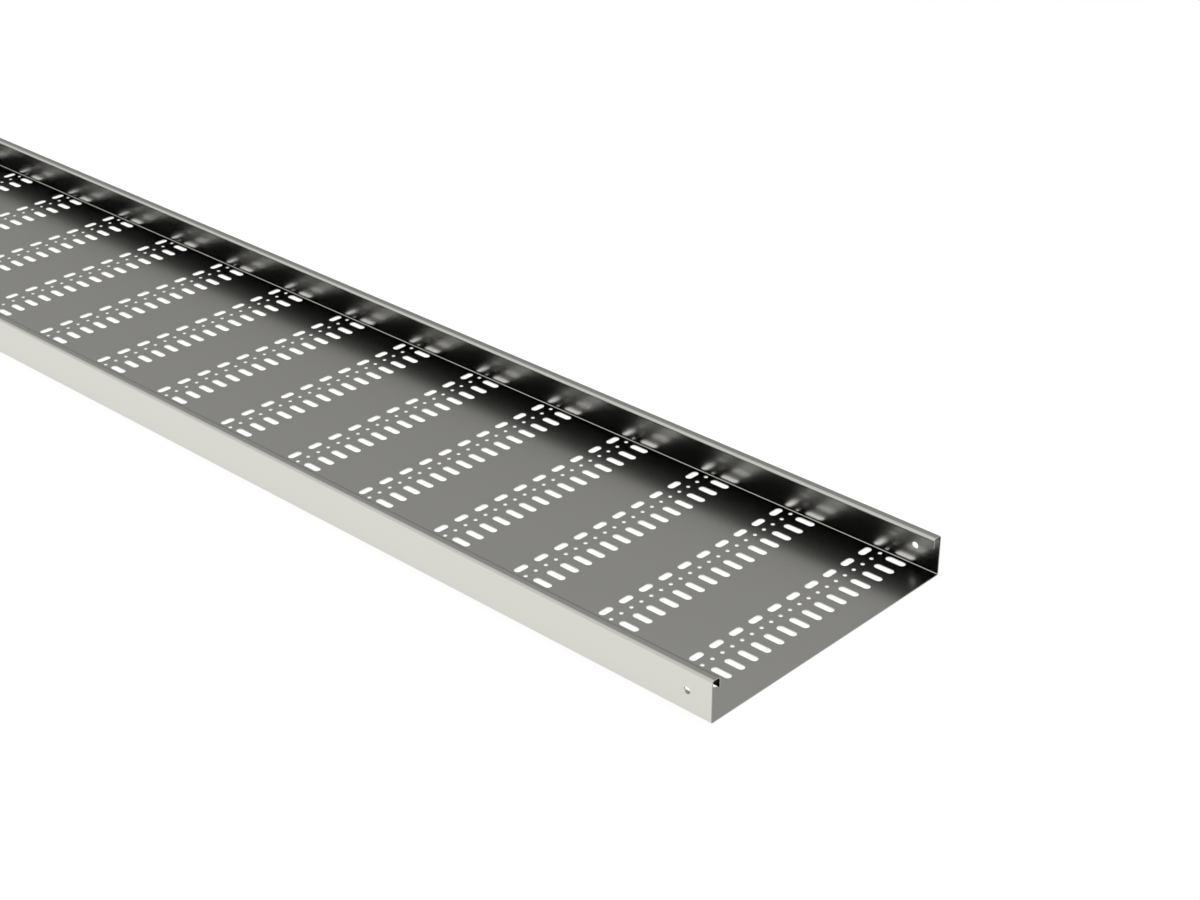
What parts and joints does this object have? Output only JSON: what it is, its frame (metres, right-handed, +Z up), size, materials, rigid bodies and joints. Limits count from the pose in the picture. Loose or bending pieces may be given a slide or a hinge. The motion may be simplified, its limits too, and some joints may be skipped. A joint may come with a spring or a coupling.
{
  "type": "perforated cable tray",
  "caption": "Straight length of perforated cable tray, one sheet folded into a shallow channel with inturned lips and a slotted base.",
  "frame": {"origin": "middle of the length and of the width, on the underside of the base that the tray rests on", "axes": "+X along the length, towards the end where the first row is of long slots; +Y across the width; +Z up, out of the open side"},
  "size_m": [2, 0.3, 0.04],
  "materials": {
    "tray_sheet": "smooth pre-galvanised sheet, satin, with soft reflections"
  },
  "bodies": {
    "root": {"tray": "tray_sheet"}
  },
  "joints": []
}
